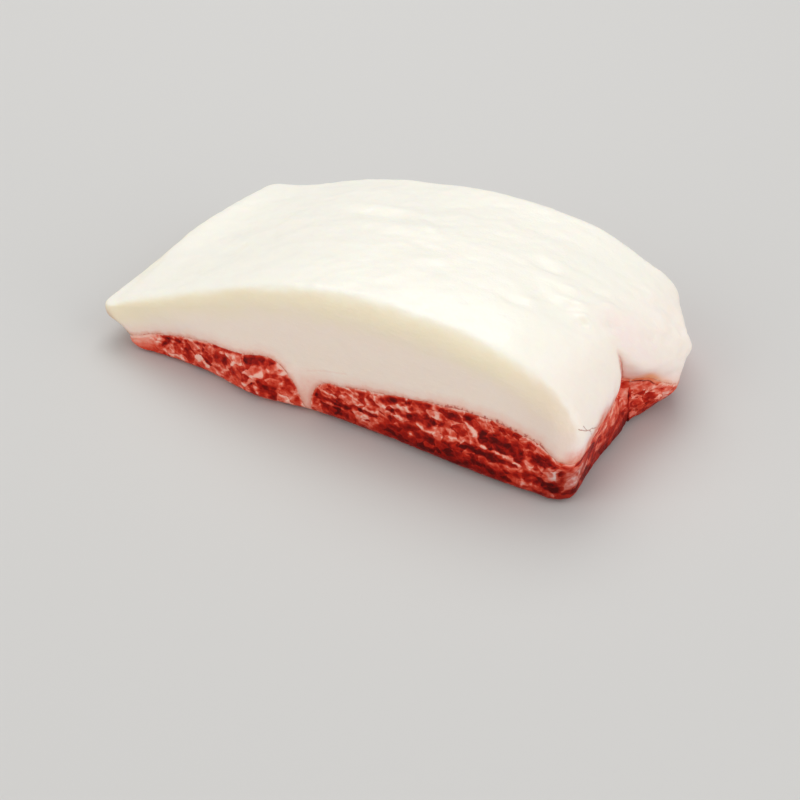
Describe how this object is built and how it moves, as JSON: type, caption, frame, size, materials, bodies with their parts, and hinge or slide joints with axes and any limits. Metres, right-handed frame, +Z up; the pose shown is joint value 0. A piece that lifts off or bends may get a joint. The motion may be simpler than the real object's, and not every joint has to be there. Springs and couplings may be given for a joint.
{
  "type": "wild boar loin",
  "caption": "Block of raw wild boar loin, cut square, with a thick arched cap of fat over dark red lean and a cleft in one end; a meat prop for cooking and butchery scenes.",
  "frame": {"origin": "middle of the underside, under the middle of the bounding box", "axes": "+X along the long front cut from the thin nose to the cleft end, +Y from the front cut to the back cut, +Z up from the lean side to the fat"},
  "size_m": [0.2276, 0.128, 0.0584],
  "materials": {
    "fat": "moist raw fat, white with a warm tinge",
    "rib_lean": "moist raw lean, red with pale marbling",
    "eye_lean": "moist raw lean, dark red with pale marbling",
    "flap_lean": "moist raw lean, red with a pale seam"
  },
  "bodies": {
    "root": {"fat_cap": "fat", "rib_muscle": "rib_lean", "eye_muscle": "eye_lean", "flap_muscle": "flap_lean"}
  },
  "joints": []
}
